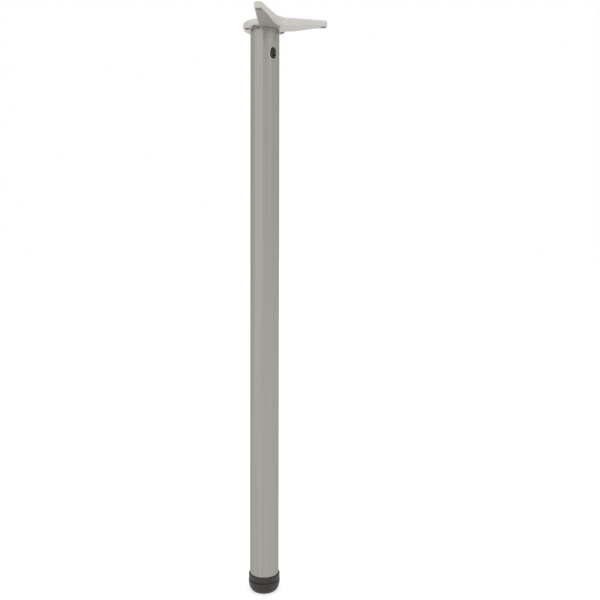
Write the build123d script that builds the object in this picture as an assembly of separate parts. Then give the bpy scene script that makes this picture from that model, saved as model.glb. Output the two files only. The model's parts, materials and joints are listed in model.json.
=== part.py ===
from build123d import *
import math
import os

# Frame: Z up, the floor under the foot is Z = 0, the tube's axis is X = Y = 0.
# The two arms of the bracket open towards -Y, mirrored about X = 0. All sizes in mm.

# Leg tube, a round steel tube of 2 inches outside
TUBE_DIAMETER = 50.8
TUBE_WALL = 1.5
TUBE_LENGTH = 958.7
TUBE_EDGE_BREAK = 0.4

# Key slot in the tube, in front of the lock screw
SLOT_WIDTH = 13.4
SLOT_HEIGHT = 20.0
SLOT_DEPTH_FROM_TUBE_TOP = 43.5

# Hub flange of the mounting bracket, lower than the arms' tops
BRACKET_THICKNESS = 16.0
FLANGE_DIAMETER = 77.2
FLANGE_THICKNESS = 11.0
FLANGE_TOP_ROUND = 2.5
FLANGE_BOTTOM_ROUND = 4.5

# Two arms of the mounting bracket, each at a right angle to the other
ARM_HALF_SPREAD = 45.0
ARM_REACH = 109.0
ARM_OUTER_OFFSET = 7.4
ARM_TIP_INNER_OFFSET = 5.2
ARM_FLARE = 15.4
ARM_TIP_CORNER = 4.6
ARM_INNER_CORNER = 30.0
ARM_TOP_ROUND = 2.6
ARM_BOTTOM_ROUND = 2.0
ARM_SLOPE_START = 50.0
ARM_SLOPE_TIP_INSET = 19.0
ARM_SLOPE_BLEND = 60.0
ARM_TIP_THICKNESS = 11.2

# Cored pockets in the bracket's hidden top
CASTING_WALL = 3.6
ARM_POCKET_START = 45.0
ARM_POCKET_TIP_INSET = 17.0
ARM_RIB_PLACE = 68.0
POCKET_CORNER = 1.6
HUB_POCKET_SPANS = ((90.0, 96.0), (270.0, 44.0))

# Countersunk screw holes up through the bracket
SCREW_HOLE_DIAMETER = 5.2
COUNTERSINK_DIAMETER = 9.4
COUNTERSINK_ANGLE = 90.0
ARM_SCREW_TIP_INSET = 7.0
FLANGE_SCREW_RADIUS = 31.6
FLANGE_SCREW_ANGLES = (20.0, 160.0, 200.0, 340.0)

# Spigot that the tube slides over
SPIGOT_CLEARANCE = 0.2
SPIGOT_WALL = 3.7
SPIGOT_LENGTH = 62.0
SPIGOT_LEAD_IN = 1.6
WINDOW_CLEARANCE = 0.6

# Clamp in the spigot: the lock screw runs through a web and pushes a tongue at the back
WEB_THICKNESS = 8.0
WEB_CENTRE_Y = -2.0
WEB_BOSS_DIAMETER = 17.0
WEB_BOSS_PROUD = 2.0
TONGUE_WIDTH = 20.0
TONGUE_SLIT = 1.6
TONGUE_ROOT_DEPTH = 8.0
TONGUE_PAD_WIDTH = 12.0
TONGUE_PAD_HEIGHT = 14.0
TONGUE_PAD_DEPTH = 1.4

# Lock screw, a socket set screw
LOCK_SCREW_DIAMETER = 10.0
LOCK_SCREW_LENGTH = 30.0
LOCK_SCREW_CHAMFER = 1.0
LOCK_SOCKET_ACROSS = 5.0
LOCK_SOCKET_DEPTH = 6.0
THREAD_CLEARANCE = 0.05

# Foot insert, a plastic plug pushed into the tube's lower end
COLLAR_DIAMETER = 54.7
COLLAR_HEIGHT = 10.2
COLLAR_CHAMFER = 0.7
PLUG_CLEARANCE = 0.15
PLUG_HEIGHT = 30.0
PLUG_WALL = 2.6
PLUG_LEAD_IN = 1.4
PLUG_HUB_DIAMETER = 24.0
PLUG_RIB_COUNT = 6
PLUG_RIB_THICKNESS = 2.2
PLUG_FLOOR = 3.0

# Hexagon nut pressed up into the foot insert
NUT_ACROSS = 17.0
NUT_HEIGHT = 8.0
NUT_CHAMFER = 0.8
NUT_POCKET_CLEARANCE = 0.1
NUT_RECESS = 0.8

# Threaded stem of the levelling foot
STEM_DIAMETER = 10.0
STEM_CHAMFER = 1.0
STEM_BORE_CLEARANCE = 0.3
STEM_EMBEDDED = 12.0
STEM_SPARE = 2.0
FOOT_TRAVEL = 20.0

# Glide, the moulded foot that stands on the floor
GLIDE_DIAMETER = 55.4
GLIDE_HEIGHT = 19.7
GLIDE_BASE_DIAMETER = 37.0
GLIDE_WIDEST_HEIGHT = 18.0
GLIDE_TOP_CHAMFER = 0.8
SEAT_HEIGHT = 0.9
SEAT_INNER_DIAMETER = 24.0
SEAT_OUTER_DIAMETER = 40.0

# Places and heights worked out from the sizes above
ARM_SLOPE_END = ARM_REACH - ARM_SLOPE_TIP_INSET
ARM_POCKET_END = ARM_REACH - ARM_POCKET_TIP_INSET
ARM_SCREW_PLACE = ARM_REACH - ARM_SCREW_TIP_INSET
TUBE_RADIUS = TUBE_DIAMETER / 2
TUBE_INNER_RADIUS = TUBE_RADIUS - TUBE_WALL
COLLAR_BOTTOM = GLIDE_HEIGHT + SEAT_HEIGHT
TUBE_BOTTOM = COLLAR_BOTTOM + COLLAR_HEIGHT
TUBE_TOP = TUBE_BOTTOM + TUBE_LENGTH
BRACKET_TOP = TUBE_TOP + BRACKET_THICKNESS
FLANGE_TOP = TUBE_TOP + FLANGE_THICKNESS
LOCK_HEIGHT = TUBE_TOP - SLOT_DEPTH_FROM_TUBE_TOP
SPIGOT_RADIUS = TUBE_INNER_RADIUS - SPIGOT_CLEARANCE
SPIGOT_BORE_RADIUS = SPIGOT_RADIUS - SPIGOT_WALL
TONGUE_PAD_FACE = SPIGOT_BORE_RADIUS - TONGUE_PAD_DEPTH
LOCK_SCREW_FRONT = TONGUE_PAD_FACE - LOCK_SCREW_LENGTH

# A little more than the material, so that a cut runs clear of both faces
OVERCUT = 5.0


def along(angle, distance):
    """Point at a distance from the tube's axis, in a direction seen from above."""
    turn = math.radians(angle)
    return (distance * math.cos(turn), distance * math.sin(turn))


def upright(radius, bottom, top):
    """Round bar on the tube's axis, between two heights."""
    bar = Cylinder(radius, top - bottom, align=(Align.CENTER, Align.CENTER, Align.MIN))
    return Pos(0, 0, bottom) * bar


def arm_inner_offset(place):
    """Width from the arm's axis to its inner edge, at a distance from the tube's axis."""
    return ARM_TIP_INNER_OFFSET + (ARM_REACH - place) * math.tan(math.radians(ARM_FLARE))


def nearest_vertices(sketch, targets):
    """The sketch's corner nearest to each target point."""
    corners = sketch.vertices()
    return [min(corners, key=lambda v: math.hypot(v.X - x, v.Y - y)) for x, y in targets]


def arm_point(side, place, offset):
    """Point on an arm: side is 1 for the +X arm and -1 for the -X arm, offset is outwards."""
    angle = math.radians(270.0 + ARM_HALF_SPREAD)
    x = place * math.cos(angle) - offset * math.sin(angle)
    y = place * math.sin(angle) + offset * math.cos(angle)
    return (side * x, y)


def arm_outline(side):
    """Plan of one arm, straight on its outer edge and flared on its inner edge."""
    corners = [
        arm_point(side, 0.0, ARM_OUTER_OFFSET),
        arm_point(side, ARM_REACH, ARM_OUTER_OFFSET),
        arm_point(side, ARM_REACH, -ARM_TIP_INNER_OFFSET),
        arm_point(side, 0.0, -arm_inner_offset(0.0)),
    ]
    return make_face(Polyline(*corners, close=True))


def arms_outline():
    """Plan of both arms, with the corner between them and their tips rounded."""
    arms = arm_outline(1) + arm_outline(-1)
    flare = math.tan(math.radians(ARM_FLARE))
    crotch = arm_inner_offset(0.0) / (math.cos(math.radians(ARM_HALF_SPREAD)) * (1.0 + flare))
    arms = fillet(nearest_vertices(arms, [(0.0, -crotch)]), ARM_INNER_CORNER)
    tips = [arm_point(side, ARM_REACH, offset)
            for side in (1, -1) for offset in (ARM_OUTER_OFFSET, -ARM_TIP_INNER_OFFSET)]
    return fillet(nearest_vertices(arms, tips), ARM_TIP_CORNER)


def arm_side_prism(side, profile, blends, half_width):
    """Prism across an arm from (distance from the tube's axis, height) points, some of them blended."""
    angle = 270.0 + side * ARM_HALF_SPREAD
    x, y = along(angle, 1.0)
    plane = Plane(origin=(0, 0, 0), x_dir=(x, y, 0), z_dir=(y, -x, 0))
    face = make_face(Polyline(*profile, close=True))
    face = fillet(nearest_vertices(face, blends), ARM_SLOPE_BLEND)
    return extrude(plane * face, amount=half_width, both=True)


def arm_underside_cut(side):
    """What is taken off under an arm, so that it thins towards its tip."""
    end = ARM_REACH + OVERCUT
    tip_underside = BRACKET_TOP - ARM_TIP_THICKNESS
    below = TUBE_TOP - OVERCUT
    profile = [
        (0.0, TUBE_TOP),
        (ARM_SLOPE_START, TUBE_TOP),
        (ARM_SLOPE_END, tip_underside),
        (end, tip_underside),
        (end, below),
        (0.0, below),
    ]
    return arm_side_prism(side, profile, profile[1:3], arm_inner_offset(0.0))


def arm_pocket(side, start, end):
    """Pocket in an arm's top, with walls and a floor of even thickness."""
    corners = [
        arm_point(side, start, ARM_OUTER_OFFSET - CASTING_WALL),
        arm_point(side, end, ARM_OUTER_OFFSET - CASTING_WALL),
        arm_point(side, end, CASTING_WALL - arm_inner_offset(end)),
        arm_point(side, start, CASTING_WALL - arm_inner_offset(start)),
    ]
    plan = make_face(Polyline(*corners, close=True))
    plan = fillet(plan.vertices(), POCKET_CORNER)
    above = BRACKET_TOP + OVERCUT
    block = extrude(Pos(0, 0, TUBE_TOP) * plan, amount=above - TUBE_TOP)
    tip_floor = BRACKET_TOP - ARM_TIP_THICKNESS + CASTING_WALL
    profile = [
        (0.0, above),
        (0.0, TUBE_TOP + CASTING_WALL),
        (ARM_SLOPE_START, TUBE_TOP + CASTING_WALL),
        (ARM_SLOPE_END, tip_floor),
        (ARM_REACH, tip_floor),
        (ARM_REACH, above),
    ]
    return block & arm_side_prism(side, profile, profile[2:4], arm_inner_offset(0.0))


def hub_pocket(centre_angle, span):
    """Curved pocket in the hub's top, between the spigot and the flange's rim."""
    outer = FLANGE_DIAMETER / 2 - CASTING_WALL
    fan = [along(centre_angle + turn, FLANGE_DIAMETER) for turn in (-span / 2, 0.0, span / 2)]
    wedge = make_face(Polyline((0.0, 0.0), *fan, close=True))
    plan = (Circle(outer) - Circle(TUBE_INNER_RADIUS)) & wedge
    plan = fillet(plan.vertices(), POCKET_CORNER)
    return extrude(Pos(0, 0, TUBE_TOP + CASTING_WALL) * plan, amount=BRACKET_THICKNESS)


def screw_hole(x, y, underside):
    """Cutter for one countersunk screw hole, opening at the bracket's underside."""
    mouth = COUNTERSINK_DIAMETER / 2
    root = SCREW_HOLE_DIAMETER / 2
    depth = (mouth - root) / math.tan(math.radians(COUNTERSINK_ANGLE / 2))
    cone = Cone(mouth, root, depth, align=(Align.CENTER, Align.CENTER, Align.MIN))
    relief = upright(mouth, -OVERCUT, 0.0)
    hole = upright(root, 0.0, BRACKET_THICKNESS + OVERCUT)
    return Pos(x, y, underside) * (hole + cone + relief)


def bracket_screw_holes():
    """Cutters for every screw hole of the bracket."""
    holes = Part()
    for angle in FLANGE_SCREW_ANGLES:
        x, y = along(angle, FLANGE_SCREW_RADIUS)
        holes += screw_hole(x, y, TUBE_TOP)
    for side in (1, -1):
        x, y = arm_point(side, ARM_SCREW_PLACE, 0.0)
        holes += screw_hole(x, y, BRACKET_TOP - ARM_TIP_THICKNESS)
    return holes


def across_y(radius, start, end, height=LOCK_HEIGHT):
    """Round bar along Y between two places."""
    bar = Cylinder(radius, end - start, align=(Align.CENTER, Align.CENTER, Align.MIN))
    return Pos(0, start, height) * Rot(-90, 0, 0) * bar


def slot_cutter(width, height, start, end):
    """Upright oval bar along Y at the lock screw's height."""
    outline = Plane.XZ * Rot(0, 0, 90) * SlotOverall(height, width)
    bar = extrude(outline, amount=start - end)
    return Pos(0, start, LOCK_HEIGHT) * bar


def spigot():
    """Stub that the tube slides over, whose wall runs up to the tabletop."""
    body = upright(SPIGOT_RADIUS, TUBE_TOP - SPIGOT_LENGTH, BRACKET_TOP)
    return chamfer(body.edges().group_by(Axis.Z)[0], SPIGOT_LEAD_IN)


def spigot_inside():
    """Web with its threaded boss, and the pad on the tongue, before they are cut."""
    low = TUBE_TOP - SPIGOT_LENGTH
    width = (SPIGOT_BORE_RADIUS + SPIGOT_WALL / 2) * 2
    height = SPIGOT_LENGTH + CASTING_WALL
    up = (Align.CENTER, Align.CENTER, Align.MIN)
    web = Pos(0, WEB_CENTRE_Y, low + SPIGOT_LEAD_IN) * Box(width, WEB_THICKNESS, height, align=up)
    front = WEB_CENTRE_Y - WEB_THICKNESS / 2 - WEB_BOSS_PROUD
    back = WEB_CENTRE_Y + WEB_THICKNESS / 2 + WEB_BOSS_PROUD
    boss = across_y(WEB_BOSS_DIAMETER / 2, front, back)
    pad_back = SPIGOT_RADIUS - SPIGOT_WALL / 2
    pad_mid = (TONGUE_PAD_FACE + pad_back) / 2
    pad = Pos(0, pad_mid, LOCK_HEIGHT) * Box(TONGUE_PAD_WIDTH, pad_back - TONGUE_PAD_FACE, TONGUE_PAD_HEIGHT)
    return web + boss + pad


def tongue_slits():
    """Two slits that free the tongue at the back of the spigot."""
    low = TUBE_TOP - SPIGOT_LENGTH - OVERCUT
    high = TUBE_TOP - TONGUE_ROOT_DEPTH
    start = WEB_CENTRE_Y + WEB_THICKNESS / 2 + OVERCUT
    end = SPIGOT_RADIUS + OVERCUT
    slits = Part()
    for side in (1, -1):
        x = side * (TONGUE_WIDTH + TONGUE_SLIT) / 2
        slits += Pos(x, (start + end) / 2, (low + high) / 2) * Box(TONGUE_SLIT, end - start, high - low)
    return slits


def arms_body():
    """Both arms at full height, thinned towards their tips, with rounded edges."""
    body = extrude(Pos(0, 0, TUBE_TOP) * arms_outline(), amount=BRACKET_THICKNESS)
    body -= arm_underside_cut(1)
    body -= arm_underside_cut(-1)
    body = fillet(body.edges().group_by(Axis.Z)[-1], ARM_TOP_ROUND)
    edges = [edge for face in body.faces() if face.normal_at().Z < -math.sqrt(0.5) for edge in face.edges()]
    rim = [edge for edge in edges if sum(edge.is_same(other) for other in edges) == 1]
    return fillet(rim, ARM_BOTTOM_ROUND)


def flange():
    """Round flange over the tube's end, with rounded edges."""
    body = upright(FLANGE_DIAMETER / 2, TUBE_TOP, FLANGE_TOP)
    body = fillet(body.edges().group_by(Axis.Z)[-1], FLANGE_TOP_ROUND)
    return fillet(body.edges().group_by(Axis.Z)[0], FLANGE_BOTTOM_ROUND)


def mounting_bracket():
    """Die-cast bracket: flange, two arms, screw holes, cored top and spigot in one piece."""
    body = arms_body() + flange()
    for side in (1, -1):
        body -= arm_pocket(side, ARM_POCKET_START, ARM_RIB_PLACE - CASTING_WALL / 2)
        body -= arm_pocket(side, ARM_RIB_PLACE + CASTING_WALL / 2, ARM_POCKET_END)
    for centre_angle, span in HUB_POCKET_SPANS:
        body -= hub_pocket(centre_angle, span)
    body += spigot()
    body -= upright(SPIGOT_BORE_RADIUS, TUBE_TOP - SPIGOT_LENGTH - OVERCUT, BRACKET_TOP + OVERCUT)
    body += spigot_inside()
    body -= bracket_screw_holes()
    window_end = WEB_CENTRE_Y - WEB_THICKNESS / 2 - WEB_BOSS_PROUD - OVERCUT
    window_width = SLOT_WIDTH + WINDOW_CLEARANCE
    window_height = SLOT_HEIGHT + WINDOW_CLEARANCE
    body -= slot_cutter(window_width, window_height, -TUBE_RADIUS - OVERCUT, window_end)
    body -= tongue_slits()
    thread_radius = LOCK_SCREW_DIAMETER / 2 + THREAD_CLEARANCE
    body -= across_y(thread_radius, -TUBE_INNER_RADIUS, TONGUE_PAD_FACE)
    return body


def leg_tube():
    """Round tube with the key slot near its top, facing between the arms."""
    ring = Circle(TUBE_RADIUS) - Circle(TUBE_INNER_RADIUS)
    tube = extrude(Pos(0, 0, TUBE_BOTTOM) * ring, amount=TUBE_LENGTH)
    rims = tube.edges().filter_by(GeomType.CIRCLE)
    outer_rims = [edge for edge in rims if edge.radius > TUBE_RADIUS - TUBE_WALL / 2]
    tube = chamfer(outer_rims, TUBE_EDGE_BREAK)
    return tube - slot_cutter(SLOT_WIDTH, SLOT_HEIGHT, -TUBE_RADIUS - OVERCUT, 0.0)


def hexagon(across):
    """Regular hexagon by its width across the flats."""
    return RegularPolygon(across / 2, 6, major_radius=False)


def lock_screw():
    """Socket set screw along Y, its socket facing the key slot."""
    bar = across_y(LOCK_SCREW_DIAMETER / 2, LOCK_SCREW_FRONT, TONGUE_PAD_FACE)
    bar = chamfer(bar.edges().filter_by(GeomType.CIRCLE), LOCK_SCREW_CHAMFER)
    socket = extrude(Plane.XZ * hexagon(LOCK_SOCKET_ACROSS), amount=-LOCK_SOCKET_DEPTH)
    return bar - Pos(0, LOCK_SCREW_FRONT, LOCK_HEIGHT) * socket


def foot_insert():
    """Ribbed plug with a collar that carries the tube's lower rim."""
    plug_radius = TUBE_INNER_RADIUS - PLUG_CLEARANCE
    plug_top = TUBE_BOTTOM + PLUG_HEIGHT
    collar = upright(COLLAR_DIAMETER / 2, COLLAR_BOTTOM, TUBE_BOTTOM)
    collar = chamfer(collar.edges().filter_by(GeomType.CIRCLE), COLLAR_CHAMFER)
    plug = upright(plug_radius, TUBE_BOTTOM, plug_top)
    plug = chamfer(plug.edges().group_by(Axis.Z)[-1], PLUG_LEAD_IN)
    hollow = Circle(plug_radius - PLUG_WALL) - Circle(PLUG_HUB_DIAMETER / 2)
    for turn in range(PLUG_RIB_COUNT):
        angle = turn * 360.0 / PLUG_RIB_COUNT
        hollow -= Rot(0, 0, angle) * Pos(plug_radius / 2, 0) * Rectangle(plug_radius, PLUG_RIB_THICKNESS)
    floor = COLLAR_BOTTOM + PLUG_FLOOR
    body = collar + plug
    body -= extrude(Pos(0, 0, floor) * hollow, amount=plug_top - floor + OVERCUT)
    pocket = hexagon(NUT_ACROSS + NUT_POCKET_CLEARANCE * 2)
    pocket_height = NUT_RECESS + NUT_HEIGHT + OVERCUT
    body -= extrude(Pos(0, 0, COLLAR_BOTTOM - OVERCUT) * pocket, amount=pocket_height)
    bore_radius = STEM_DIAMETER / 2 + STEM_BORE_CLEARANCE
    return body - upright(bore_radius, COLLAR_BOTTOM - OVERCUT, plug_top + OVERCUT)


def insert_nut():
    """Hexagon nut that the stem screws through."""
    bottom = COLLAR_BOTTOM + NUT_RECESS
    top = bottom + NUT_HEIGHT
    blank = extrude(Pos(0, 0, bottom) * hexagon(NUT_ACROSS), amount=NUT_HEIGHT)
    round_off = upright(NUT_ACROSS / math.sqrt(3), bottom, top)
    round_off = chamfer(round_off.edges().group_by(Axis.Z)[0], NUT_CHAMFER)
    bore = upright(STEM_DIAMETER / 2 + THREAD_CLEARANCE, bottom - OVERCUT, top + OVERCUT)
    return (blank & round_off) - bore


def stem_top():
    """Height of the stem's end, so that it still fills the nut when fully let out."""
    return COLLAR_BOTTOM + NUT_RECESS + NUT_HEIGHT + FOOT_TRAVEL + STEM_SPARE


def foot_stem():
    """Threaded stem moulded into the glide."""
    bar = upright(STEM_DIAMETER / 2, GLIDE_HEIGHT - STEM_EMBEDDED, stem_top())
    return chamfer(bar.edges().group_by(Axis.Z)[-1], STEM_CHAMFER)


def foot_glide():
    """Rounded foot with a raised seat that meets the collar when screwed right up."""
    radius = GLIDE_DIAMETER / 2
    base = GLIDE_BASE_DIAMETER / 2
    seat_outer = SEAT_OUTER_DIAMETER / 2
    seat_inner = SEAT_INNER_DIAMETER / 2
    profile = Curve() + [
        Line((0, 0), (base, 0)),
        EllipticalCenterArc((base, GLIDE_WIDEST_HEIGHT), radius - base, GLIDE_WIDEST_HEIGHT,
                            start_angle=270, arc_size=90),
        Polyline((radius, GLIDE_WIDEST_HEIGHT), (radius, GLIDE_HEIGHT - GLIDE_TOP_CHAMFER),
                 (radius - GLIDE_TOP_CHAMFER, GLIDE_HEIGHT), (seat_outer, GLIDE_HEIGHT),
                 (seat_outer, COLLAR_BOTTOM), (seat_inner, COLLAR_BOTTOM),
                 (seat_inner, GLIDE_HEIGHT), (0, GLIDE_HEIGHT), (0, 0)),
    ]
    body = revolve(Plane.XZ * make_face(profile), Axis.Z)
    return body - upright(STEM_DIAMETER / 2, GLIDE_HEIGHT - STEM_EMBEDDED, COLLAR_BOTTOM + OVERCUT)


PIECES = {
    "mounting_bracket": mounting_bracket,
    "leg_tube": leg_tube,
    "lock_screw": lock_screw,
    "foot_insert": foot_insert,
    "insert_nut": insert_nut,
    "foot_stem": foot_stem,
    "foot_glide": foot_glide,
}

os.makedirs("parts", exist_ok=True)
for node, make in PIECES.items():
    export_step(make(), f"parts/{node}.step")
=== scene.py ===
import json
import math

import bmesh
import bpy
from mathutils import Matrix, Vector

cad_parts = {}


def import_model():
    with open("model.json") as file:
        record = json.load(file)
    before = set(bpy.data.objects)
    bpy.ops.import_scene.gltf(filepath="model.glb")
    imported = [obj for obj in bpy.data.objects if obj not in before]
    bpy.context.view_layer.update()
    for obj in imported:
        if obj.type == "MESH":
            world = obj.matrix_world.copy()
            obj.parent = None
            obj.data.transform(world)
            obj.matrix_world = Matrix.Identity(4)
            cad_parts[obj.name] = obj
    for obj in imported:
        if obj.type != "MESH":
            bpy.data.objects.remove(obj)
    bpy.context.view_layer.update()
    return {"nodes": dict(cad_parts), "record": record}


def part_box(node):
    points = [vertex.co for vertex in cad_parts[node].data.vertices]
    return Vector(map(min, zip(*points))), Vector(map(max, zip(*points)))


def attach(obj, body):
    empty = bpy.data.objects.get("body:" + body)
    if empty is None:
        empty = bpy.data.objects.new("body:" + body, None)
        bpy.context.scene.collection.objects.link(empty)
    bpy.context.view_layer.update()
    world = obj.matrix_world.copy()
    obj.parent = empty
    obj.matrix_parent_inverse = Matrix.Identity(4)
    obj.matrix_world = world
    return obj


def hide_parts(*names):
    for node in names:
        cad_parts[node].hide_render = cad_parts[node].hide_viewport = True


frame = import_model()

MM_PER_M = 1000.0

# Camera, as in the photograph. Angles in degrees, lengths in metres, the sensor in mm.
FRAME_PIXELS = 600
SENSOR_WIDTH = 36.0
FOCAL_PIXELS = 725.8
CENTRE_ROW = 265.0
CAMERA_DISTANCE = 1.285
CAMERA_HEIGHT = 0.6081
CAMERA_TURN = -39.35
CAMERA_PITCH = 1.318
CAMERA_ROLL = 0.136
CAMERA_PAN = 2.788

# Colours, linear
TUBE_COLOUR = (0.338, 0.324, 0.307)
CAST_COLOUR = (0.625, 0.607, 0.575)
# Painted shade inside the bracket's screw holes
HOLE_SHADE_COLOUR = (0.270, 0.253, 0.230)
PLASTIC_COLOUR = (0.026, 0.0208, 0.0195)
SCREW_COLOUR = (0.010, 0.008, 0.006)
ZINC_COLOUR = (0.50, 0.50, 0.49)

# Noise. Its values mostly lie between low and high. Scales are per metre.
NOISE_LOW = 0.3
NOISE_HIGH = 0.7
NOISE_DETAIL = 3.0
NOISE_ROUGHNESS = 0.55

# Satin tube, with drawn lines and broader streaks along it. Depths in metres.
LINES_SCALE = 1100.0
LINES_STRETCH = (1.0, 1.0, 0.01)
LINES_DEPTH = 0.00001
STREAKS_SCALE = 240.0
STREAKS_STRETCH = (1.0, 1.0, 0.006)
DRAWN_NOISE_ROUGHNESS = 0.6
TUBE_TONE_SPREAD = 0.07
TUBE_ROUGHNESS = (0.24, 0.31)
TUBE_METALLIC = 0.95
TUBE_EDGE_TINT = (0.6, 0.6, 0.6, 1.0)
TUBE_ANISOTROPY = 0.7
TUBE_ANISOTROPY_TURN = 0.25

# Die-cast bracket
CAST_GRAIN_SCALE = 1400.0
CAST_GRAIN_DEPTH = 0.00003
CAST_CLOUD_SCALE = 60.0
CAST_CLOUD_DEPTH = 0.00008
CAST_TONE_SPREAD = 0.03
CAST_ROUGHNESS = (0.34, 0.44)
CAST_METALLIC = 0.5

# Mouth of the bracket's countersunk screw holes, in metres, to which the painted shade in them reaches
HOLE_MOUTH_RADIUS = 0.0047
HOLE_EDGE_BLEND = 0.0004

# Upward part of a normal over which a wall becomes a flat top, where the painted shade in the holes
# stops
WALL_NORMAL = 0.5
TOP_NORMAL = 0.9

# Black plastic of the foot
PLASTIC_GRAIN_SCALE = 1800.0
PLASTIC_GRAIN_DETAIL = 2.0
PLASTIC_GRAIN_DEPTH = 0.00003
PLASTIC_CLOUD_SCALE = 40.0
PLASTIC_TONE_SPREAD = 0.12
PLASTIC_ROUGHNESS = (0.42, 0.58)

# Steel of the screw, the nut and the stem
STEEL_GRAIN_SCALE = 700.0
STEEL_GRAIN_DEPTH = 0.00002
STEEL_TONE_SPREAD = 0.15
SCREW_ROUGHNESS = (0.35, 0.5)
ZINC_ROUGHNESS = (0.25, 0.4)

# Degrees that the tube is turned on its spigot, which shows where its slot is
TUBE_TURN = -6.0

# Thread of the foot's stem, metric coarse, in metres.
# Its profile is in pairs: share of the pitch, share of the depth.
THREAD_PITCH = 0.0015
THREAD_DEPTH = 0.00092
THREAD_PROFILE = ((0.0, 0.0), (0.125, 0.0), (0.4375, 1.0), (0.6875, 1.0))
THREAD_SEGMENTS = 40
THREAD_SPARE_TURNS = 2
THREAD_END_INSET = 0.001104
MERGE_DISTANCE = 0.000001

# Floor and surround
FLOOR_SIZE = 60.0
FLOOR_COLOUR = (0.58, 0.58, 0.58)
FLOOR_ROUGHNESS = 0.9
FLOOR_LIFT = 0.60
WORLD_COLOUR = (1.0, 1.0, 1.0)
WORLD_LIGHT = 0.85

# Square lamps: place to the camera's right, away from it and up, then side in metres and power in watts
LAMPS = {
    "left": ((-1.9, -1.5, 1.3), 3.4, 9.0),
    "right": ((1.1, -1.0, 2.5), 0.8, 6.5),
}
LAMP_AIM_HEIGHT = 0.6


def linked(name, data):
    """A new object in the scene, with the data given."""
    item = bpy.data.objects.new(name, data)
    bpy.context.scene.collection.objects.link(item)
    return item


def new_material(name):
    """A new material, with its node tree and its shader."""
    material = bpy.data.materials.new(name)
    material.use_nodes = True
    tree = material.node_tree
    return material, tree, tree.nodes["Principled BSDF"]


def add_node(tree, kind, **values):
    """A node of the kind named, with its settings and its unlinked inputs filled in."""
    node = tree.nodes.new(kind)
    for key, value in values.items():
        if key in node.inputs:
            node.inputs[key].default_value = value
        else:
            setattr(node, key, value)
    return node


def combined(tree, operation, first, second):
    """Value worked out from two other nodes' outputs."""
    node = add_node(tree, "ShaderNodeMath", operation=operation)
    tree.links.new(first, node.inputs[0])
    tree.links.new(second, node.inputs[1])
    return node.outputs[0]


def object_noise(tree, scale, stretch=(1.0, 1.0, 1.0), detail=NOISE_DETAIL, roughness=NOISE_ROUGHNESS):
    """Noise in the object's own metres, stretched along its axes."""
    place = add_node(tree, "ShaderNodeTexCoord")
    mapping = add_node(tree, "ShaderNodeMapping")
    mapping.inputs["Scale"].default_value = stretch
    tree.links.new(place.outputs["Object"], mapping.inputs["Vector"])
    noise = add_node(tree, "ShaderNodeTexNoise", Scale=scale, Detail=detail, Roughness=roughness)
    tree.links.new(mapping.outputs["Vector"], noise.inputs["Vector"])
    return noise.outputs["Fac"]


def ramp(tree, source, low, high, from_low=NOISE_LOW, from_high=NOISE_HIGH):
    """Value moved from its own range, a noise's unless another is given, to the range wanted."""
    node = add_node(tree, "ShaderNodeMapRange")
    node.inputs["From Min"].default_value = from_low
    node.inputs["From Max"].default_value = from_high
    node.inputs["To Min"].default_value = low
    node.inputs["To Max"].default_value = high
    tree.links.new(source, node.inputs["Value"])
    return node.outputs["Result"]


def toned(tree, noise, colour, spread):
    """Colour that gets darker and lighter with a noise, by up to the share given."""
    node = add_node(tree, "ShaderNodeMix", data_type="RGBA")
    node.inputs["A"].default_value = (*(channel * (1.0 - spread) for channel in colour), 1.0)
    node.inputs["B"].default_value = (*(channel * (1.0 + spread) for channel in colour), 1.0)
    tree.links.new(ramp(tree, noise, 0.0, 1.0), node.inputs["Factor"])
    return node.outputs["Result"]


def overlaid(tree, under, colour, share):
    """Colour laid over another node's colour where a share is 1."""
    node = add_node(tree, "ShaderNodeMix", data_type="RGBA")
    node.inputs["B"].default_value = (*colour, 1.0)
    tree.links.new(share, node.inputs["Factor"])
    tree.links.new(under, node.inputs["A"])
    return node.outputs["Result"]


def bump(tree, shader, layers):
    """Bump from several height maps, each with its own depth in metres."""
    previous = None
    for height, depth in layers:
        node = add_node(tree, "ShaderNodeBump", Distance=depth, Strength=1.0)
        tree.links.new(height, node.inputs["Height"])
        if previous is not None:
            tree.links.new(previous, node.inputs["Normal"])
        previous = node.outputs["Normal"]
    tree.links.new(previous, shader.inputs["Normal"])


def finish_surface(tree, shader, tone, gloss, roughness, metallic, layers):
    """Colour, gloss that follows a noise, metal and bumps of a surface."""
    tree.links.new(tone, shader.inputs["Base Color"])
    tree.links.new(ramp(tree, gloss, *roughness), shader.inputs["Roughness"])
    shader.inputs["Metallic"].default_value = metallic
    bump(tree, shader, layers)


def tube_material():
    """Satin steel with fine drawn lines along the tube, whose gloss spreads along it."""
    material, tree, shader = new_material("satin_tube")
    lines = object_noise(tree, LINES_SCALE, LINES_STRETCH, roughness=DRAWN_NOISE_ROUGHNESS)
    streaks = object_noise(tree, STREAKS_SCALE, STREAKS_STRETCH, roughness=DRAWN_NOISE_ROUGHNESS)
    tone = toned(tree, streaks, TUBE_COLOUR, TUBE_TONE_SPREAD)
    finish_surface(tree, shader, tone, lines, TUBE_ROUGHNESS, TUBE_METALLIC, [(lines, LINES_DEPTH)])
    shader.inputs["Specular Tint"].default_value = TUBE_EDGE_TINT
    shader.inputs["Anisotropic"].default_value = TUBE_ANISOTROPY
    shader.inputs["Anisotropic Rotation"].default_value = TUBE_ANISOTROPY_TURN
    return material


def screw_hole_places():
    """Where the bracket's screw holes are in the plan, from the record's mounts."""
    places = set()
    for mount in frame["record"]["mounts"]:
        if mount["kind"] == "bolt_pattern":
            x, y, _ = mount["pos_m"]
            half_x = mount["dims"]["spacing_x_mm"] / 2 / MM_PER_M
            half_y = mount["dims"].get("spacing_y_mm", 0.0) / 2 / MM_PER_M
            places.update((x + side_x * half_x, y + side_y * half_y, 0.0)
                          for side_x in (-1, 1) for side_y in (-1, 1))
    return sorted(places)


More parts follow.
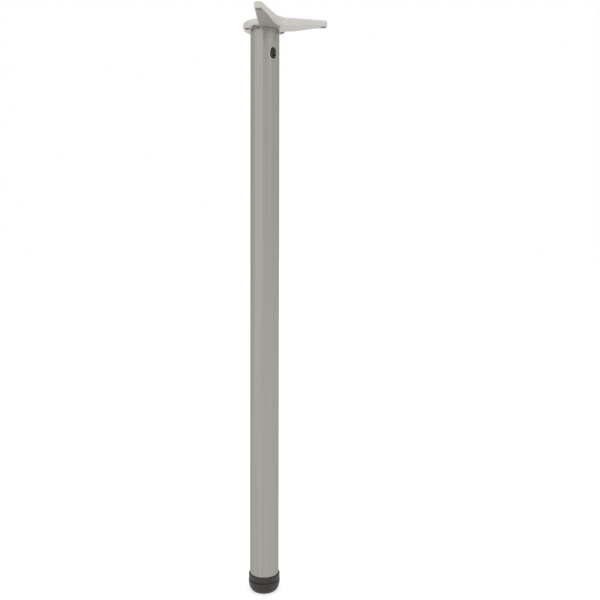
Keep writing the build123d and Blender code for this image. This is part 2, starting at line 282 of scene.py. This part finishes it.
def hole_shade_mask(tree, places, reach, blend):
    """Mask for painted shade: 1 within a reach of the upright axes at the places, 0 outside it and on a
    flat top.
    """
    place = add_node(tree, "ShaderNodeTexCoord")
    flat = add_node(tree, "ShaderNodeVectorMath", operation="MULTIPLY")
    flat.inputs[1].default_value = (1.0, 1.0, 0.0)
    tree.links.new(place.outputs["Object"], flat.inputs[0])
    gaps = []
    for spot in places:
        gap = add_node(tree, "ShaderNodeVectorMath", operation="DISTANCE")
        gap.inputs[1].default_value = spot
        tree.links.new(flat.outputs["Vector"], gap.inputs[0])
        gaps.append(gap.outputs["Value"])
    nearest = gaps[0]
    for gap in gaps[1:]:
        nearest = combined(tree, "MINIMUM", nearest, gap)
    normal = add_node(tree, "ShaderNodeSeparateXYZ")
    tree.links.new(place.outputs["Normal"], normal.inputs[0])
    near = ramp(tree, nearest, 1.0, 0.0, reach, reach + blend)
    wall = ramp(tree, normal.outputs["Z"], 1.0, 0.0, WALL_NORMAL, TOP_NORMAL)
    return combined(tree, "MULTIPLY", near, wall)


def cast_material():
    """Painted die-casting with a fine satin grain, and painted shade inside its screw holes."""
    material, tree, shader = new_material("cast_bracket")
    grain = object_noise(tree, CAST_GRAIN_SCALE)
    cloud = object_noise(tree, CAST_CLOUD_SCALE)
    paint = toned(tree, cloud, CAST_COLOUR, CAST_TONE_SPREAD)
    # Painted shade: a darker colour laid over the paint inside the screw holes
    hole_shade = hole_shade_mask(tree, screw_hole_places(), HOLE_MOUTH_RADIUS, HOLE_EDGE_BLEND)
    tone = overlaid(tree, paint, HOLE_SHADE_COLOUR, hole_shade)
    layers = [(grain, CAST_GRAIN_DEPTH), (cloud, CAST_CLOUD_DEPTH)]
    finish_surface(tree, shader, tone, grain, CAST_ROUGHNESS, CAST_METALLIC, layers)
    return material


def plastic_material():
    """Black moulded plastic with a fine spark-eroded grain."""
    material, tree, shader = new_material("black_plastic")
    grain = object_noise(tree, PLASTIC_GRAIN_SCALE, detail=PLASTIC_GRAIN_DETAIL)
    cloud = object_noise(tree, PLASTIC_CLOUD_SCALE)
    tone = toned(tree, cloud, PLASTIC_COLOUR, PLASTIC_TONE_SPREAD)
    finish_surface(tree, shader, tone, grain, PLASTIC_ROUGHNESS, 0.0, [(grain, PLASTIC_GRAIN_DEPTH)])
    return material


def steel_material(name, colour, roughness):
    """Plated or blackened steel of the screw, nut and stem."""
    material, tree, shader = new_material(name)
    grain = object_noise(tree, STEEL_GRAIN_SCALE)
    tone = toned(tree, grain, colour, STEEL_TONE_SPREAD)
    finish_surface(tree, shader, tone, grain, roughness, 1.0, [(grain, STEEL_GRAIN_DEPTH)])
    return material


def turned_copy(node, name, degrees):
    """Copy of a node's mesh with its material, turned about the leg's axis."""
    mesh = frame["nodes"][node].data.copy()
    mesh.transform(Matrix.Rotation(math.radians(degrees), 4, "Z"))
    return linked(name, mesh)


def thread_rows(rod, low, high, radius):
    """Corners of the thread's profile at each step up the helix, flattened to the rod's ends."""
    end_radius = radius - THREAD_END_INSET
    turns = math.ceil((high - low) / THREAD_PITCH) + THREAD_SPARE_TURNS
    rows = []
    for step in range(turns * THREAD_SEGMENTS + 1):
        angle = 2.0 * math.pi * (step % THREAD_SEGMENTS) / THREAD_SEGMENTS
        row = []
        for level, depth in THREAD_PROFILE:
            height = low + THREAD_PITCH * (step / THREAD_SEGMENTS + level - 1.0)
            height = min(max(height, low), high)
            chamfer = end_radius + min(height - low, high - height)
            reach = min(radius - depth * THREAD_DEPTH, chamfer)
            row.append(rod.verts.new((reach * math.cos(angle), reach * math.sin(angle), height)))
        rows.append(row)
    return rows


def up_to_next_turn(rows, step):
    """One step's corners, and the first one of the turn above where there is one."""
    above = step + THREAD_SEGMENTS
    return rows[step] + (rows[above][:1] if above < len(rows) else [])


def threaded_rod(name, low, high, radius):
    """Rod with a helical thread and a chamfer at each end, between two heights."""
    rod = bmesh.new()
    rows = thread_rows(rod, low, high, radius)
    for step in range(len(rows) - 1):
        here, there = up_to_next_turn(rows, step), up_to_next_turn(rows, step + 1)
        for level in range(min(len(here), len(there)) - 1):
            rod.faces.new((here[level], there[level], there[level + 1], here[level + 1]))
    bmesh.ops.remove_doubles(rod, verts=rod.verts, dist=MERGE_DISTANCE)
    rims = [edge for edge in rod.edges if len(edge.link_faces) == 1]
    bmesh.ops.contextual_create(rod, geom=rims)
    bmesh.ops.recalc_face_normals(rod, faces=rod.faces)
    mesh = bpy.data.meshes.new(name)
    rod.to_mesh(mesh)
    rod.free()
    return linked(name, mesh)


def dress_nodes():
    """Each CAD node gets its finish, the tube its turn and the stem its thread."""
    materials = {
        "mounting_bracket": cast_material(),
        "leg_tube": tube_material(),
        "lock_screw": steel_material("dark_screw", SCREW_COLOUR, SCREW_ROUGHNESS),
        "foot_insert": plastic_material(),
        "insert_nut": steel_material("zinc_steel", ZINC_COLOUR, ZINC_ROUGHNESS),
    }
    materials["foot_glide"] = materials["foot_insert"]
    materials["foot_stem"] = materials["insert_nut"]
    for name, material in materials.items():
        mesh = frame["nodes"][name].data
        mesh.materials.clear()
        mesh.materials.append(material)
    tube = turned_copy("leg_tube", "turned_tube", TUBE_TURN)
    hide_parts("leg_tube")
    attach(tube, "leg")
    low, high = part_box("foot_stem")
    rod = threaded_rod("threaded_stem", low[2], high[2], high[0])
    rod.data.materials.append(materials["foot_stem"])
    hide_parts("foot_stem")
    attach(rod, "foot")


def is_seen_directly(tree):
    """1 for rays from the camera, from gloss and through glass, 0 for the rest."""
    path = add_node(tree, "ShaderNodeLightPath")
    seen = combined(tree, "MAXIMUM", path.outputs["Is Camera Ray"], path.outputs["Is Glossy Ray"])
    return combined(tree, "MAXIMUM", seen, path.outputs["Is Transmission Ray"])


def world():
    """Plain white surround: white where it is seen, softer where it lights."""
    surround = bpy.data.worlds.new("studio")
    bpy.context.scene.world = surround
    surround.use_nodes = True
    tree = surround.node_tree
    background = tree.nodes["Background"]
    background.inputs["Color"].default_value = (*WORLD_COLOUR, 1.0)
    strength = ramp(tree, is_seen_directly(tree), WORLD_LIGHT, 1.0, 0.0, 1.0)
    tree.links.new(strength, background.inputs["Strength"])


def floor():
    """Pale floor that fades into the surround, but keeps the leg's shadow."""
    mesh = bpy.data.meshes.new("floor")
    half = FLOOR_SIZE / 2
    corners = [(-half, -half, 0.0), (half, -half, 0.0), (half, half, 0.0), (-half, half, 0.0)]
    mesh.from_pydata(corners, [], [(0, 1, 2, 3)])
    ground = linked("floor", mesh)
    material, tree, shader = new_material("floor")
    shader.inputs["Base Color"].default_value = (*FLOOR_COLOUR, 1.0)
    shader.inputs["Roughness"].default_value = FLOOR_ROUGHNESS
    shader.inputs["Specular IOR Level"].default_value = 0.0
    glow = add_node(tree, "ShaderNodeEmission")
    lift = ramp(tree, is_seen_directly(tree), 0.0, FLOOR_LIFT, 0.0, 1.0)
    tree.links.new(lift, glow.inputs["Strength"])
    both = add_node(tree, "ShaderNodeAddShader")
    tree.links.new(shader.outputs[0], both.inputs[0])
    tree.links.new(glow.outputs[0], both.inputs[1])
    tree.links.new(both.outputs[0], tree.nodes["Material Output"].inputs["Surface"])
    mesh.materials.append(material)


def camera_axes():
    """Directions in the row frame of the camera's plan: to its right and away from it."""
    turn = math.radians(CAMERA_TURN)
    right = Vector((math.cos(turn), math.sin(turn), 0.0))
    away = Vector((-math.sin(turn), math.cos(turn), 0.0))
    return right, away


def camera():
    """The camera at the photograph's place and angle."""
    right, away = camera_axes()
    pan, pitch, roll = (math.radians(angle) for angle in (CAMERA_PAN, CAMERA_PITCH, CAMERA_ROLL))
    level = right * math.sin(pan) + away * math.cos(pan)
    across = right * math.cos(pan) - away * math.sin(pan)
    forward = level * math.cos(pitch) - Vector((0.0, 0.0, math.sin(pitch)))
    upward = across.cross(forward)
    side = across * math.cos(roll) + upward * math.sin(roll)
    top = upward * math.cos(roll) - across * math.sin(roll)
    data = bpy.data.cameras.new("camera")
    data.sensor_width = SENSOR_WIDTH
    data.lens = FOCAL_PIXELS / FRAME_PIXELS * SENSOR_WIDTH
    data.shift_y = (CENTRE_ROW - FRAME_PIXELS / 2) / FRAME_PIXELS
    eye = linked("camera", data)
    place = Vector((0.0, 0.0, CAMERA_HEIGHT)) - away * CAMERA_DISTANCE
    eye.matrix_world = Matrix.Translation(place) @ Matrix((side, top, -forward)).transposed().to_4x4()
    bpy.context.scene.camera = eye


def lamps():
    """Soft lamps that stand round the camera and aim at the leg."""
    right, away = camera_axes()
    for name, (place, side, power) in LAMPS.items():
        data = bpy.data.lights.new(name, "AREA")
        data.size = side
        data.energy = power
        light = linked(name, data)
        light.location = right * place[0] + away * place[1] + Vector((0.0, 0.0, place[2]))
        aim = Vector((0.0, 0.0, LAMP_AIM_HEIGHT)) - light.location
        light.rotation_mode = "QUATERNION"
        light.rotation_quaternion = aim.to_track_quat("-Z", "Y")


dress_nodes()
world()
camera()
floor()
lamps()

scene = bpy.context.scene
scene.view_settings.view_transform = "Standard"
